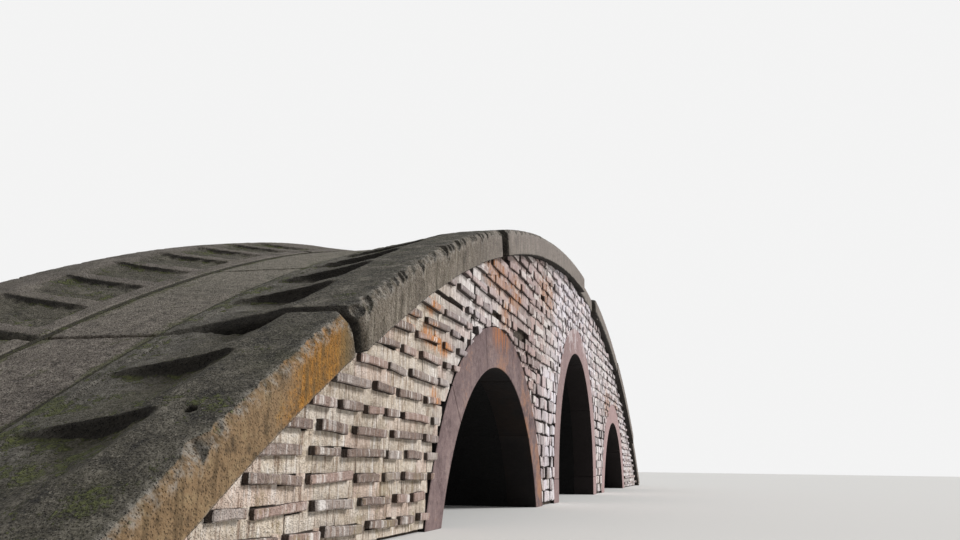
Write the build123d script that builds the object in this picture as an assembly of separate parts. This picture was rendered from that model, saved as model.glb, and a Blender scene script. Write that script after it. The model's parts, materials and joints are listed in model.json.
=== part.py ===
from build123d import *
import math
import os

# Arched stone footbridge with three openings. X runs along the bridge, Y across it, Z up.
# The near end of the photograph is at minus X and the wall it shows is at minus Y.

# Deck: every slab follows one circle whose axis runs across the bridge.
deck_radius = 13300.0
crown_height = 2150.0
deck_centre_z = crown_height - deck_radius
slab_thickness = 172.0
bed_radius = deck_radius - slab_thickness
toe_height = 120.0
toe_angle = math.acos((toe_height - deck_centre_z) / deck_radius)
deck_reach = deck_radius * math.sin(toe_angle)
toe_length = 182.0
toe_dig = 400.0
toe_lap_angle = 0.04
toe_past_angle = 0.03

# Plan
wall_half_width = 953.0
wall_thickness = 200.0
ramp_half_width = 250.0
groove = 10.0
wall_end_inset = 212.0
wall_half_length = deck_reach - wall_end_inset
slab_inner_y = ramp_half_width + groove / 2

# Cross section of the side slabs: level kerb, then a fall to the ramp
kerb_inner_y = 745.0
fall_y = 650.0
fall_drop = 20.0
inner_drop = 80.0
ramp_drop = 85.0
ramp_radius = deck_radius - ramp_drop
kerb_bevel = 25.0
long_edge = 500.0

# Slabs in order along X: name, overhang past the wall at each end
side_slabs = [
    ("near_end", 62.0, 62.0),
    ("near_steps", 88.0, 48.0),
    ("near_shoulder", 78.0, 78.0),
    ("crown", 72.0, 72.0),
    ("far_crown", 28.0, 28.0),
    ("far_shoulder", 75.0, 75.0),
    ("far_steps", 80.0, 80.0),
    ("far_end", 66.0, 66.0),
]
end_slab_length = 1222.0
end_joint_x = deck_reach - end_slab_length
side_joints = [-end_joint_x, -3480.0, -2210.0, 160.0, 1130.0, 3480.0, end_joint_x]
ramp_slab_length = 1160.0
ramp_end_length = 1242.0
ramp_end_joint_x = deck_reach - ramp_end_length
ramp_joints = [-ramp_end_joint_x] + [ramp_slab_length * k for k in range(-4, 5)] + [ramp_end_joint_x]
joint_gap = 8.0
wide_joint_gap = 26.0

# Steps sunk into the side slabs between raised bars
step_pitch = 370.0
bar_width = 95.0
step_floor_drop = 84.0
step_low_depth = 15.0
riser_lean = 0.3
joint_step = 2
steps_each_end = 10
full_steps = 7
crown_step_scale = 0.6
first_riser_x = end_joint_x + joint_step * step_pitch
step_inner_y = 335.0
step_flat_y = 590.0
step_rise_y = 670.0
step_rise_drop = 60.0
step_end_y = 795.0
step_low_end_y = 765.0
step_lip_rise = 4.0
step_cut_rise = 60.0

# Openings
side_arch_x = 3360.0
side_arch_radius = 1258.0
side_arch_z = -406.0
middle_arch_radius = 1156.0
middle_arch_z = 187.0
ring_depth = 240.0
ring_proud = 8.0
ring_stones = 5
ring_joint = 3.0
vault_depth = 180.0
flats_per_stone = 2
vault_flats = flats_per_stone * ring_stones
arch_names = ["near", "middle", "far"]
arch_x = [-side_arch_x, 0.0, side_arch_x]
arch_z = [side_arch_z, middle_arch_z, side_arch_z]
arch_r = [side_arch_radius, middle_arch_radius, side_arch_radius]

# Drill hole in the near end slab
hole_from_foot = 499.0
hole_x = hole_from_foot - deck_reach
hole_y = -872.0
hole_radius = 16.0
hole_depth = 45.0
hole_sides = 8

os.makedirs("parts", exist_ok=True)

ACROSS = (0, 1, 0)
DECK_AXIS = Axis((0, 0, deck_centre_z), ACROSS)


def save(shape, name):
    export_step(shape, f"parts/{name}.step")


def place(radius, angle, centre_x=0.0, centre_z=deck_centre_z, y=0.0):
    return (centre_x + radius * math.sin(angle), y, centre_z + radius * math.cos(angle))


def deck_angle(x, radius=deck_radius):
    return math.asin(x / radius)


def prism(wire, y0, y1):
    face = Face(Wire(wire))
    solid = extrude(face, amount=y1 - y0, dir=ACROSS)
    return Pos(0, y0, 0) * solid


def sector(r0, r1, a0, a1, y0, y1, centre_x=0.0, centre_z=deck_centre_z):
    """Curved block between two radii and two angles from the vertical."""
    mid = 0.5 * (a0 + a1)

    def p(r, a):
        return place(r, a, centre_x, centre_z)

    wire = [
        ThreePointArc(p(r1, a0), p(r1, mid), p(r1, a1)),
        Line(p(r1, a1), p(r0, a1)),
        ThreePointArc(p(r0, a1), p(r0, mid), p(r0, a0)),
        Line(p(r0, a0), p(r1, a0)),
    ]
    return prism(wire, y0, y1)


def block(x0, x1, y0, y1, z0, z1):
    return Pos((x0 + x1) / 2, (y0 + y1) / 2, (z0 + z1) / 2) * Box(x1 - x0, y1 - y0, z1 - z0)


def barrel(radius, centre_x, centre_z, y0, y1):
    drum = Rot(90, 0, 0) * Cylinder(radius, y1 - y0)
    return Pos(centre_x, (y0 + y1) / 2, centre_z) * drum


def opening(number, radius_add, y0, y1):
    """The hollow of one arch, made larger all round by radius_add."""
    if number == 1:
        radius = middle_arch_radius + radius_add
        drum = barrel(radius, 0, middle_arch_z, y0, y1)
        return drum + block(-radius, radius, y0, y1, 0, middle_arch_z)
    centre_x = -side_arch_x if number == 0 else side_arch_x
    return barrel(side_arch_radius + radius_add, centre_x, side_arch_z, y0, y1)


def half_turn(number):
    """Angle from the crown of an arch down to the foot of its ring."""
    return math.pi / 2 if number == 1 else math.acos(-arch_z[number] / (arch_r[number] + ring_depth))


def vault_back(number, y0, y1):
    """Outline of one barrel's hidden back, in flats from springing to springing."""
    centre_x = arch_x[number]
    centre_z = arch_z[number]
    turn = half_turn(number)
    radius = (arch_r[number] + vault_depth) / math.cos(turn / vault_flats)
    angles = [-turn + 2 * turn * k / vault_flats for k in range(vault_flats + 1)]
    corners = [place(radius, a, centre_x, centre_z) for a in angles]
    feet = [(corners[-1][0], 0, -toe_dig), (corners[0][0], 0, -toe_dig)]
    return prism(Polyline(*corners, *feet, close=True).edges(), y0, y1)


def under_deck(x0, x1, y0, y1):
    """Masonry from the floor up to the bed of the slabs."""
    return block(x0, x1, y0, y1, 0, crown_height) & barrel(bed_radius, 0, deck_centre_z, y0, y1)


def above_floor(shape):
    return shape & block(-deck_reach, deck_reach, -deck_reach, deck_reach, 0, crown_height)


def solids_only(shape):
    parts = shape.solids()
    return parts[0] if len(parts) == 1 else Compound(children=list(parts))


def flipped(shape, wanted):
    return mirror(shape, about=Plane.YZ) if wanted else shape


def drop_at(y):
    """How far the top of a side slab lies below the deck circle at a distance from the middle."""
    points = [(slab_inner_y, inner_drop), (fall_y, fall_drop), (kerb_inner_y, 0.0)]
    for (y0, d0), (y1, d1) in zip(points, points[1:]):
        if y <= y1:
            return d0 + (d1 - d0) * (y - y0) / (y1 - y0)
    return 0.0


def swept(section, a0, a1):
    """Turns a cross section, given as (y, radius) corners, about the deck axis."""
    corners = [place(r, a0, y=y) for y, r in section]
    face = Face(Wire(Polyline(*corners, close=True).edges()))
    return revolve(face, axis=DECK_AXIS, revolution_arc=math.degrees(a1 - a0))


def step_places():
    """Risers of one flight on the far half, from its foot upwards, with their depth scale."""
    found = []
    for n in range(steps_each_end):
        fade = max(0, n + 1 - full_steps) / (steps_each_end - full_steps)
        found.append((first_riser_x - step_pitch * n, 1.0 - (1.0 - crown_step_scale) * fade))
    return found


def step_ring(x, side, floor, lean=0.0):
    """Corners of a step's hollow across the slab: floor depths below its top, open above."""
    angle = deck_angle(x)
    lip_y = floor[-1][0]
    corners = [(deck_radius - drop_at(y) - d, y) for y, d in floor]
    corners += [(deck_radius + step_cut_rise, lip_y), (deck_radius + step_cut_rise, step_inner_y)]
    ring = []
    for radius, y in corners:
        back = lean * (radius - deck_radius + step_floor_drop)
        px, py, pz = place(radius, angle, y=side * y)
        ring.append((px - back * math.cos(angle), py, pz + back * math.sin(angle)))
    return ring


def facet(*corners):
    return Face(Wire(Polyline(*corners, close=True).edges()))


def bridged(ring_a, ring_b):
    """Solid between two flat rings of corners, with flat triangles for its sides."""
    faces = [facet(*ring_a), facet(*ring_b)]
    for k in range(len(ring_a)):
        j = (k + 1) % len(ring_a)
        faces.append(facet(ring_a[k], ring_a[j], ring_b[j]))
        faces.append(facet(ring_a[k], ring_b[j], ring_b[k]))
    return Solid(Shell(faces))


def step_cutter(riser_x, scale, side):
    """Hollow of one step on the far half: level floor at its leaning riser, shallow at its lower bar."""
    def floor(depths, lip_y):
        ys = [step_inner_y, step_flat_y, step_rise_y]
        return [(y, d * scale) for y, d in zip(ys, depths)] + [(lip_y, -step_lip_rise)]

    flat = [step_floor_drop - drop_at(step_inner_y), step_floor_drop - drop_at(step_flat_y)]
    high = floor(flat + [step_rise_drop - drop_at(step_rise_y)], step_end_y)
    low = floor([step_low_depth] * 3, step_low_end_y)
    low_x = riser_x + step_pitch - bar_width
    return bridged(step_ring(riser_x, side, high, riser_lean), step_ring(low_x, side, low))


def with_toe(slab, way, section):
    """Runs the end of a slab down to a flat sole on the floor."""
    low = [(section[0][0], bed_radius - toe_dig), (section[-1][0], bed_radius - toe_dig)]
    deep = swept([low[0]] + section[1:-1] + [low[1]], toe_angle - toe_lap_angle, toe_angle + toe_past_angle)
    y0 = min(y for y, r in section)
    y1 = max(y for y, r in section)
    toe = deep & block(deck_reach - toe_length, deck_reach, y0, y1, 0, crown_height)
    whole = slab + flipped(toe, way < 0)
    return whole & block(min(0, way * deck_reach), max(0, way * deck_reach), y0, y1, 0, crown_height)


def side_section(side, outer):
    """Corners of a side slab, bed first and bed last."""
    top = [(side * y, deck_radius - drop_at(y)) for y in (slab_inner_y, fall_y, kerb_inner_y, outer)]
    return [(side * slab_inner_y, bed_radius)] + top + [(side * outer, bed_radius)]


def soften(slab, side, worn_ends):
    """Bevels the kerb's long top edge, with the upper and outer edges of the worn ends."""
    def reach(edge):
        p = edge.center()
        return side * p.Y + math.hypot(p.X, p.Z - deck_centre_z)

    def on_worn_end(edge):
        p = edge.center()
        radius = math.hypot(p.X, p.Z - deck_centre_z)
        off = [abs(math.atan2(p.X, p.Z - deck_centre_z) - angle) * deck_radius for angle in worn_ends]
        return min(off + [9.0]) < 1.0 and radius > bed_radius + 1 and side * p.Y > slab_inner_y + 1

    arris = max([e for e in slab.edges() if e.length > long_edge], key=reach)
    return chamfer([arris] + [e for e in slab.edges() if on_worn_end(e)], kerb_bevel)


# Side slabs
for side, side_name in ((-1, "right"), (1, "left")):
    for i, (name, overhang_0, overhang_1) in enumerate(side_slabs):
        first = i == 0
        last = i == len(side_slabs) - 1
        gap_0 = wide_joint_gap if i == 2 else joint_gap
        gap_1 = wide_joint_gap if i == 1 else joint_gap
        a0 = -toe_angle if first else deck_angle(side_joints[i - 1] + gap_0 / 2)
        a1 = toe_angle if last else deck_angle(side_joints[i] - gap_1 / 2)
        outer = wall_half_width + max(overhang_0, overhang_1)
        section = side_section(side, outer)
        slab = swept(section, a0, a1)
        if overhang_0 != overhang_1:
            x0 = deck_radius * math.sin(a0)
            x1 = deck_radius * math.sin(a1)
            turn = math.atan2(overhang_1 - overhang_0, x1 - x0)
            trim = block(-deck_reach, deck_reach, 0, wall_half_width, 0, crown_height)
            trim = Pos(x0, outer, 0) * Rot(0, 0, math.degrees(turn)) * trim
            slab = slab - (trim if side > 0 else mirror(trim, about=Plane.XZ))
        if first or last:
            slab = with_toe(slab, -1 if first else 1, section)
        worn_ends = [angle for angle, worn in ((a0, i == 1), (a1, i < 2)) if worn]
        slab = soften(solids_only(slab), side, worn_ends)
        for riser_x, scale in step_places():
            if riser_x < abs(deck_radius * math.sin(a0 if i < 4 else a1)):
                cut = step_cutter(riser_x, scale, side)
                slab = slab - flipped(cut, i < 4)
        if first and side < 0:
            angle = deck_angle(hole_x)
            drill = extrude(RegularPolygon(hole_radius, hole_sides), amount=hole_depth, both=True)
            drill = Pos(*place(deck_radius, angle, y=hole_y)) * Rot(0, math.degrees(angle), 0) * drill
            slab = slab - drill
        save(solids_only(slab), f"slab_{side_name}_{name}")

# Ramp slabs down the middle
groups = {"ramp_near": [], "ramp_crown": [], "ramp_far": []}
ramp_y = ramp_half_width - groove / 2
ramp_section = [(-ramp_y, bed_radius), (-ramp_y, ramp_radius), (ramp_y, ramp_radius), (ramp_y, bed_radius)]
for i in range(len(ramp_joints) + 1):
    first = i == 0
    last = i == len(ramp_joints)
    a0 = -toe_angle if first else deck_angle(ramp_joints[i - 1] + joint_gap / 2)
    a1 = toe_angle if last else deck_angle(ramp_joints[i] - joint_gap / 2)
    slab = swept(ramp_section, a0, a1)
    if first or last:
        slab = with_toe(slab, -1 if first else 1, ramp_section)
    key = "ramp_near" if i < 4 else "ramp_far" if i > 7 else "ramp_crown"
    groups[key].append(solids_only(slab))
for name, slabs in groups.items():
    save(Compound(children=slabs), name)

# Masonry under the slabs, split at the crown of each arch
cuts = [-wall_half_length, -side_arch_x, 0.0, side_arch_x, wall_half_length]
bay_names = ["near_abutment", "near_pier", "far_pier", "far_abutment"]
inner_face = wall_half_width - wall_thickness
for i, name in enumerate(bay_names):
    x0 = cuts[i]
    x1 = cuts[i + 1]
    for side, side_name in ((-1, "right"), (1, "left")):
        y0 = min(side * inner_face, side * wall_half_width)
        y1 = max(side * inner_face, side * wall_half_width)
        wall = under_deck(x0, x1, y0, y1)
        for number in range(3):
            wall = wall - opening(number, ring_depth, y0, y1)
        save(solids_only(above_floor(wall)), f"wall_{side_name}_{name}")
    core = under_deck(x0, x1, -inner_face, inner_face)
    for number in range(3):
        core = core - vault_back(number, -inner_face, inner_face)
    save(solids_only(above_floor(core)), f"core_{name}")

# Arch rings and vaults
for n, name in enumerate(arch_names):
    x = arch_x[n]
    z = arch_z[n]
    r = arch_r[n]
    turn = half_turn(n)
    gap = ring_joint / 2 / r
    joints = [-turn + 2 * turn * k / ring_stones for k in range(ring_stones + 1)]
    for side, side_name in ((-1, "right"), (1, "left")):
        outer = wall_half_width + ring_proud
        y0 = min(side * inner_face, side * outer)
        y1 = max(side * inner_face, side * outer)
        stones = []
        for k in range(ring_stones):
            a0 = joints[k] + (gap if k else 0)
            a1 = joints[k + 1] - (gap if k < ring_stones - 1 else 0)
            stone = sector(r, r + ring_depth, a0, a1, y0, y1, x, z)
            stones.append(solids_only(above_floor(stone)))
        if n == 1:
            for way in (-1, 1):
                xa = min(way * r, way * (r + ring_depth))
                xb = max(way * r, way * (r + ring_depth))
                stones.append(solids_only(block(xa, xb, y0, y1, 0, z - ring_joint)))
        save(Compound(children=stones), f"ring_{side_name}_{name}")
    vault = vault_back(n, -inner_face, inner_face) - opening(n, 0, -inner_face, inner_face)
    for joint in joints[1:-1]:
        vault = vault - sector(r - ring_depth, r + ring_depth, joint - gap, joint + gap, -inner_face, inner_face, x, z)
    save(solids_only(above_floor(vault)), f"vault_{name}")
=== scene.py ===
# %% [markdown]
# # Dressing a three-arch stone footbridge
#
# The solids of this bridge come from its CAD source: curved slabs with sunken steps, a ramp down
# the middle, arch rings, walls and dark barrels. They have the right size and the right joints,
# but their faces are clean. This lesson wears them down, lays the wall stone by stone, and gives
# each kind of stone its own finish.

import json
import math
import random
from functools import partial

import bmesh
import bpy
import numpy as np
from mathutils import Matrix, Vector, noise

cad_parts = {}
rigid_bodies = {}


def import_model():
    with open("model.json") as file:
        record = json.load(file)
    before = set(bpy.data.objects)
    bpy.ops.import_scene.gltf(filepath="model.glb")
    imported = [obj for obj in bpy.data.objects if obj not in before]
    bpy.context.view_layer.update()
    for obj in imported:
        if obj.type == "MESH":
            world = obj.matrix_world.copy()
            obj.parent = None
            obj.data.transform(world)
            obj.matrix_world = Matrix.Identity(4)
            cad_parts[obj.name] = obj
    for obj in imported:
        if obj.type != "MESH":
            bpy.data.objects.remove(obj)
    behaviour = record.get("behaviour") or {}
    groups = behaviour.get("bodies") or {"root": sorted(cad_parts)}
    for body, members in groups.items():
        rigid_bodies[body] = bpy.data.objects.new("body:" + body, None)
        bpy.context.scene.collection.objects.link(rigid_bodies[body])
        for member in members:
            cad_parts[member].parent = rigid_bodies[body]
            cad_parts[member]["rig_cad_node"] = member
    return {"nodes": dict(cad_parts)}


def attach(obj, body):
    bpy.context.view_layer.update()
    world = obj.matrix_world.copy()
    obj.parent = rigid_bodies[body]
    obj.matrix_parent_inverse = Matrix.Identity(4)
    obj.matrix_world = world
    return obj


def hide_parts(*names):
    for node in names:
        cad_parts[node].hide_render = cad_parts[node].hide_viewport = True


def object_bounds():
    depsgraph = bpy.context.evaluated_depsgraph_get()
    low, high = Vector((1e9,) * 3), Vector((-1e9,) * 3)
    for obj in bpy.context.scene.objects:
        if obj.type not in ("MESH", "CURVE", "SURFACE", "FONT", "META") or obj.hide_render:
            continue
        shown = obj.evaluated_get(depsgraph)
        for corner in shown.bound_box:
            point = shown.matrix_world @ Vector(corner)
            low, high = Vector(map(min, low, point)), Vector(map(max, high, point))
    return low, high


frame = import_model()
cad_low, cad_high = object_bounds()
print("CAD box", [round(v, 3) for v in cad_low], [round(v, 3) for v in cad_high])

# %% [markdown]
# ## Sizes shared with the CAD source
#
# The deck is one circle whose axis runs across the bridge, and each arch is a circle of its own.
# Nearly all that follows asks how far a point lies from one of these circles, so they are named
# once here, in metres.

# %% Sizes
DECK_RADIUS = 13.3
CROWN_HEIGHT = 2.15
DECK_CENTRE_Z = CROWN_HEIGHT - DECK_RADIUS
BED_RADIUS = DECK_RADIUS - 0.172
RAMP_RADIUS = DECK_RADIUS - 0.085
WALL_FACE = 0.953
WALL_END = 6.84
RING_DEPTH = 0.24
ARCHES = [(-3.36, -0.406, 1.258), (0.0, 0.187, 1.156), (3.36, -0.406, 1.258)]

# %% [markdown]
# ## Short words
#
# Colours read off a photograph are sRGB numbers from 0 to 255, and shader sockets want linear
# ones. A small class wraps a node tree. Each of its methods adds nodes and wires or fills their
# inputs, so that a group or a material reads as a list of steps.


# %% Objects, meshes and colours
def link(name, data):
    """Puts an object into the scene, at the origin."""
    thing = bpy.data.objects.new(name, data)
    bpy.context.scene.collection.objects.link(thing)
    return thing


def mesh_from(builder, name):
    """The mesh that a builder holds; the builder is freed."""
    mesh = bpy.data.meshes.new(name)
    builder.to_mesh(mesh)
    builder.free()
    return mesh


SRGB_FOOT = 10


def linear(value):
    """An sRGB number from 0 to 255 as a linear one."""
    return ((value / 255 + 0.055) / 1.055) ** 2.4 if value > SRGB_FOOT else value / 255 / 12.92


def stone_colour(red, green, blue):
    """An sRGB colour as the linear colour of a socket."""
    return (linear(red), linear(green), linear(blue), 1.0)


# %% Node trees and groups
class Nodes:
    """A node tree, with a short word for each step that stone needs."""

    def __init__(self, tree):
        self.tree = tree

    def fill(self, socket, value):
        """Wires a socket to another one, or gives it a plain value."""
        if isinstance(value, bpy.types.NodeSocket):
            self.tree.links.new(value, socket)
        else:
            socket.default_value = value

    def add(self, kind, inputs=None, **settings):
        """Adds a node, applies its settings, and fills the inputs given by name or number."""
        node = self.tree.nodes.new("ShaderNode" + kind)
        for key, value in settings.items():
            setattr(node, key, value)
        for key, value in (inputs or {}).items():
            self.fill(node.inputs[key], value)
        return node

    def reckon(self, operation, first, *others):
        """Several values taken together by one operation, from left to right."""
        for other in others:
            first = self.add("Math", {0: first, 1: other}, operation=operation).outputs[0]
        return first

    def times(self, *values):
        return self.reckon("MULTIPLY", *values)

    def total(self, *values):
        return self.reckon("ADD", *values)

    def rest(self, mask):
        """One where a mask is nothing, and nothing where it is one."""
        return self.reckon("SUBTRACT", 1.0, mask)

    def unsigned(self, value):
        return self.add("Math", {0: value}, operation="ABSOLUTE").outputs[0]

    def step(self, value, low, high, to_low=0.0, to_high=1.0):
        """Smooth ramp of a value from low to high."""
        inputs = {"Value": value, "From Min": low, "From Max": high, "To Min": to_low, "To Max": to_high}
        return self.add("MapRange", inputs, interpolation_type="SMOOTHSTEP").outputs["Result"]

    def noise(self, place, scale, detail, roughness=0.5):
        inputs = {"Vector": place, "Scale": scale, "Detail": detail, "Roughness": roughness}
        return self.add("TexNoise", inputs).outputs["Fac"]

    def over(self, under, coat, *masks):
        """A colour with another one laid over it, as strong as the product of the masks."""
        first, second = (stone_colour(*c) if isinstance(c, tuple) else c for c in (under, coat))
        inputs = {0: self.times(*masks), 6: first, 7: second}
        return self.add("Mix", inputs, data_type="RGBA", clamp_factor=True).outputs[2]


class NodeGroup(Nodes):
    """A node group with named sockets, each input given with its kind and default."""

    def __init__(self, name, inputs, outputs):
        super().__init__(bpy.data.node_groups.new(name, "ShaderNodeTree"))
        for label, (kind, default) in inputs.items():
            socket = self.tree.interface.new_socket(label, in_out="INPUT", socket_type="NodeSocket" + kind)
            if default is not None:
                socket.default_value = default
        for label, kind in outputs.items():
            self.tree.interface.new_socket(label, in_out="OUTPUT", socket_type="NodeSocket" + kind)
        self.given = self.tree.nodes.new("NodeGroupInput").outputs
        self.made = self.tree.nodes.new("NodeGroupOutput").inputs


# %% [markdown]
# ## The camera
#
# The photograph was taken from low on the ground, near the foot of the bridge and a little to the
# right of it, looking up by twelve degrees. A camera matrix can be written down directly from its
# three directions, which is more exact than turning it by hand.

# %% Camera
CAMERA_PLACE = Vector((-8.637, -2.153, 0.280))
CAMERA_PITCH = 0.214457
CAMERA_YAW = 0.246362
CAMERA_ROLL = 0.013511

ahead = Vector((
    math.cos(CAMERA_PITCH) * math.cos(CAMERA_YAW),
    math.cos(CAMERA_PITCH) * math.sin(CAMERA_YAW),
    math.sin(CAMERA_PITCH),
))
level_right = Vector((math.sin(CAMERA_YAW), -math.cos(CAMERA_YAW), 0.0))
level_up = level_right.cross(ahead)
right = level_right * math.cos(CAMERA_ROLL) + level_up * math.sin(CAMERA_ROLL)
up = level_up * math.cos(CAMERA_ROLL) - level_right * math.sin(CAMERA_ROLL)

camera = link("camera", bpy.data.cameras.new("camera"))
camera.matrix_world = Matrix.Translation(CAMERA_PLACE) @ Matrix((right, up, -ahead)).transposed().to_4x4()
camera.data.sensor_fit = "HORIZONTAL"
camera.data.sensor_width = 36.0
camera.data.lens = 33.75
camera.data.clip_start = 0.05
camera.data.clip_end = 200.0
bpy.context.scene.camera = camera
print("camera at", [round(v, 2) for v in camera.location])

# %% [markdown]
# ## Floor and light
#
# A pale floor and an even sky show the stone plainly. The sky alone gives soft light from all
# round. One large soft sun from the front, the right and above makes the undersides and the near
# ends of the stones dark, as they are in the photograph. Rays that come straight from the camera,
# or by way of glass or metal, see the sky brighter than it lights.

# %% Floor
FLOOR_SIZE = 120.0

floor_builder = bmesh.new()
bmesh.ops.create_grid(floor_builder, x_segments=1, y_segments=1, size=FLOOR_SIZE / 2)
floor = link("floor", mesh_from(floor_builder, "floor"))
floor_material = bpy.data.materials.new("pale floor")
floor_material.use_nodes = True
floor_shader = floor_material.node_tree.nodes["Principled BSDF"]
floor_shader.inputs["Base Color"].default_value = (0.72, 0.71, 0.69, 1.0)
floor_shader.inputs["Roughness"].default_value = 0.9
floor.data.materials.append(floor_material)

# %% Light
SKY_LEVEL = 0.36
SEEN_SKY_LEVEL = 0.9
SUN_LEVEL = 2.8
SUN_SPREAD = math.radians(18)
SUN_FROM = Vector((0.48, -0.72, 0.58))

sky = bpy.data.worlds.new("sky")
bpy.context.scene.world = sky
sky.use_nodes = True
sky_nodes = Nodes(sky.node_tree)
rays = sky_nodes.add("LightPath").outputs
seen = sky_nodes.reckon(
    "MAXIMUM", rays["Is Camera Ray"], rays["Is Glossy Ray"], rays["Is Transmission Ray"])
strength = sky_nodes.add("MapRange", {"Value": seen, "To Min": SKY_LEVEL, "To Max": SEEN_SKY_LEVEL})
background = sky.node_tree.nodes["Background"].inputs
sky_nodes.fill(background["Strength"], strength.outputs["Result"])
sky_nodes.fill(background["Color"], (1.0, 1.0, 1.0, 1.0))

sun = link("sun", bpy.data.lights.new("sun", "SUN"))
sun.data.energy = SUN_LEVEL
sun.data.angle = SUN_SPREAD
sun.rotation_mode = "QUATERNION"
sun.rotation_quaternion = SUN_FROM.to_track_quat("Z", "Y")
bpy.context.scene.view_settings.view_transform = "Standard"
print("sky", SKY_LEVEL, "sun", SUN_LEVEL)

# %% [markdown]
# ## Stone grain
#
# Old dressed stone is never one colour. It has broad damp and dry areas, hand-sized mottles, and
# grains of a few millimetres. Image textures could show this, but a few layers of noise do it at
# any distance and carry no picture. The group gives the colour and a height for the bump.


# %% Stone grain group
def make_grain_group():
    group = NodeGroup("stone grain", {
        "Place": ("Vector", None),
        "Base": ("Color", (0.2, 0.2, 0.2, 1)),
        "Dark": ("Color", (0.1, 0.1, 0.1, 1)),
        "Pale": ("Color", (0.4, 0.4, 0.4, 1)),
        "Mottle": ("Float", 9.0),
        "Lump": ("Float", 60.0),
        "Grain": ("Float", 160.0),
        "Pitting": ("Float", 0.5),
        "Speck": ("Float", 0.35),
    }, {"Color": "Color", "Height": "Float"})
    given = group.given
    place = given["Place"]
    broad = group.noise(place, 1.3, 3.0)
    mottle = group.noise(place, given["Mottle"], 5.0, 0.65)
    lump = group.noise(place, given["Lump"], 3.0, 0.6)
    grain = group.noise(place, given["Grain"], 2.0, 0.7)
    cells = group.add("TexVoronoi", {"Vector": place, "Scale": given["Grain"], "Randomness": 1.0})
    coats = (
        ("Pale", mottle, 0.50, 0.72, 0.75),
        ("Dark", mottle, 0.50, 0.30, 1.0),
        ("Dark", broad, 0.55, 0.35, 0.35),
        ("Dark", lump, 0.47, 0.34, 0.50),
        ("Pale", lump, 0.54, 0.68, 0.35),
        ("Pale", grain, 0.56, 0.74, given["Speck"]),
        ("Dark", grain, 0.44, 0.28, given["Speck"]),
    )
    colour = given["Base"]
    for coat, value, low, high, strength in coats:
        colour = group.over(colour, given[coat], group.step(value, low, high), strength)
    pits = group.times(group.step(cells.outputs["Distance"], 0.0, 0.45), given["Pitting"])
    height = group.total(mottle, group.times(grain, 0.35), group.times(lump, 0.8), pits)
    group.fill(group.made["Color"], colour)
    group.fill(group.made["Height"], height)
    return group.tree


grain_group = make_grain_group()
print("made", grain_group.name)

# %% [markdown]
# ## Rain streaks and ragged patches
#
# Water runs down an upright face and leaves streaks. Noise that is squeezed across and drawn out
# upwards gives them. Moss, lichen and rust stain sit in patches with ragged edges, which is broad
# noise cut off at a level, with finer noise added before the cut.


# %% Streak and patch groups
DRAWN_OUT = (1.0, 1.0, 0.09)
STREAK_SOFTNESS = 0.16
RAGGED_SCALE = 90.0
RAGGED_SHARE = 0.35


def make_streak_group():
    group = NodeGroup("rain streaks", {
        "Place": ("Vector", None), "Fineness": ("Float", 30.0), "Level": ("Float", 0.5)}, {"Mask": "Float"})
    given = group.given
    drawn = group.add("VectorMath", {0: given["Place"], 1: DRAWN_OUT}, operation="MULTIPLY").outputs[0]
    streak = group.noise(drawn, given["Fineness"], 3.0, 0.6)
    mask = group.step(streak, given["Level"], group.total(given["Level"], STREAK_SOFTNESS))
    group.fill(group.made["Mask"], mask)
    return group.tree


def make_patch_group():
    group = NodeGroup("ragged patches", {
        "Place": ("Vector", None),
        "Size": ("Float", 4.0),
        "Level": ("Float", 0.5),
        "Bias": ("Float", 0.0),
        "Softness": ("Float", 0.08),
    }, {"Mask": "Float"})
    given = group.given
    broad = group.noise(given["Place"], given["Size"], 4.0, 0.7)
    fine = group.noise(given["Place"], RAGGED_SCALE, 3.0)
    ragged = group.times(group.total(fine, -0.5), RAGGED_SHARE)
    value = group.total(broad, ragged, given["Bias"])
    mask = group.step(value, given["Level"], group.total(given["Level"], given["Softness"]))
    group.fill(group.made["Mask"], mask)
    return group.tree


streak_group = make_streak_group()
patch_group = make_patch_group()
print("made", streak_group.name, "and", patch_group.name)


# %% [markdown]
# ## A stone material
#
# Each stone material starts alike. It reads its place in the object and the way each face looks,
# so that stone.x(a, b) is a mask which rises smoothly from x = a to x = b. The first grain is its
# own colour and bump. Coats are laid over that, each with its masks, and it ends in one shader.


# %% Stone material class
SHEEN = 0.25


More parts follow.
